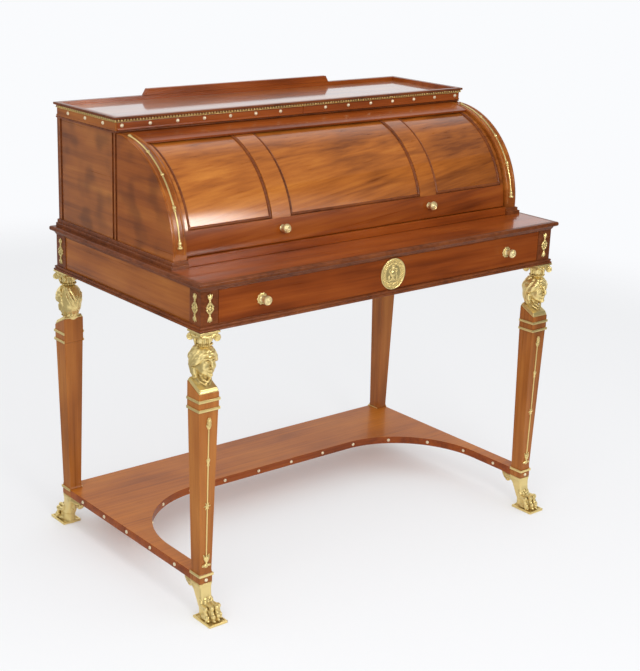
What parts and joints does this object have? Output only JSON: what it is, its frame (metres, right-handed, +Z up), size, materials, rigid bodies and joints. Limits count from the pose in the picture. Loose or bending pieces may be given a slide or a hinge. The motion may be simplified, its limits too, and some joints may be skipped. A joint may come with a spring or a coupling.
{
  "type": "cylinder desk",
  "caption": "Cylinder desk in mahogany with gilt mounts: turning quarter-round fall, writing slide, drawers, and bust-topped tapered legs on paw feet joined by a cut-out platform.",
  "frame": {"origin": "on the floor, under the middle of the desk's outline", "axes": "+X to the sitter's right, +Y from the sitter to the back, +Z up"},
  "size_m": [1.104, 0.71, 1.09],
  "materials": {
    "mahogany": "polished",
    "inner_wood": "waxed",
    "gilt": "gilded",
    "iron": "blackened",
    "leather": "smooth"
  },
  "bodies": {
    "desk": {"apron_boards": "mahogany", "apron_moulding": "mahogany", "arch_rods": "gilt", "base_moulding": "mahogany", "busts_back": "gilt", "busts_front": "gilt", "capitals_back": "gilt", "capitals_front": "gilt", "case_back": "mahogany", "case_side_left": "mahogany", "case_side_right": "mahogany", "corner_drops": "gilt", "corner_posts": "mahogany", "cornice_frieze": "mahogany", "drawer_runners": "inner_wood", "dust_board": "inner_wood", "front_rail": "mahogany", "gallery": "mahogany", "gilt_strips": "gilt", "leg_back_left": "mahogany", "leg_back_right": "mahogany", "leg_bands": "gilt", "leg_front_left": "mahogany", "leg_front_right": "mahogany", "leg_staffs": "gilt", "paw_feet_back": "gilt", "paw_feet_front": "gilt", "pigeonhole_unit": "inner_wood", "pivot_pins": "iron", "platform": "mahogany", "slide_guides": "inner_wood", "table_top": "mahogany", "top_board": "mahogany", "top_rail": "mahogany"},
    "cylinder": {"cylinder_shell": "mahogany", "panel_mouldings": "mahogany", "cylinder_knobs": "gilt", "pivot_arms": "iron"},
    "writing_slide": {"writing_slide": "mahogany", "writing_leather": "leather"},
    "long_drawer": {"long_drawer_front": "mahogany", "long_drawer_box": "inner_wood", "drawer_knobs": "gilt", "drawer_mounts": "gilt"},
    "cornice_drawer_left": {"cornice_drawer_front_left": "mahogany", "cornice_drawer_box_left": "inner_wood"},
    "cornice_drawer_right": {"cornice_drawer_front_right": "mahogany", "cornice_drawer_box_right": "inner_wood"},
    "inner_drawer_left": {"inner_drawer_left": "inner_wood"},
    "inner_drawer_middle": {"inner_drawer_middle": "inner_wood"},
    "inner_drawer_right": {"inner_drawer_right": "inner_wood"}
  },
  "joints": [
    {"name": "cylinder_turn", "type": "hinge", "parent": "desk", "child": "cylinder", "pos_m": [0, 0.05, 0.805], "axis": [-1, 0, 0], "range_deg": [0, 60]},
    {"name": "writing_slide_pull", "type": "slide", "parent": "desk", "child": "writing_slide", "axis": [0, -1, 0], "range_m": [0, 0.2]},
    {"name": "long_drawer_pull", "type": "slide", "parent": "desk", "child": "long_drawer", "axis": [0, -1, 0], "range_m": [0, 0.36]},
    {"name": "cornice_drawer_left_pull", "type": "slide", "parent": "desk", "child": "cornice_drawer_left", "axis": [0, -1, 0], "range_m": [0, 0.15]},
    {"name": "cornice_drawer_right_pull", "type": "slide", "parent": "desk", "child": "cornice_drawer_right", "axis": [0, -1, 0], "range_m": [0, 0.15]},
    {"name": "inner_drawer_left_pull", "type": "slide", "parent": "desk", "child": "inner_drawer_left", "axis": [0, -1, 0], "range_m": [0, 0.1]},
    {"name": "inner_drawer_middle_pull", "type": "slide", "parent": "desk", "child": "inner_drawer_middle", "axis": [0, -1, 0], "range_m": [0, 0.1]},
    {"name": "inner_drawer_right_pull", "type": "slide", "parent": "desk", "child": "inner_drawer_right", "axis": [0, -1, 0], "range_m": [0, 0.1]}
  ]
}
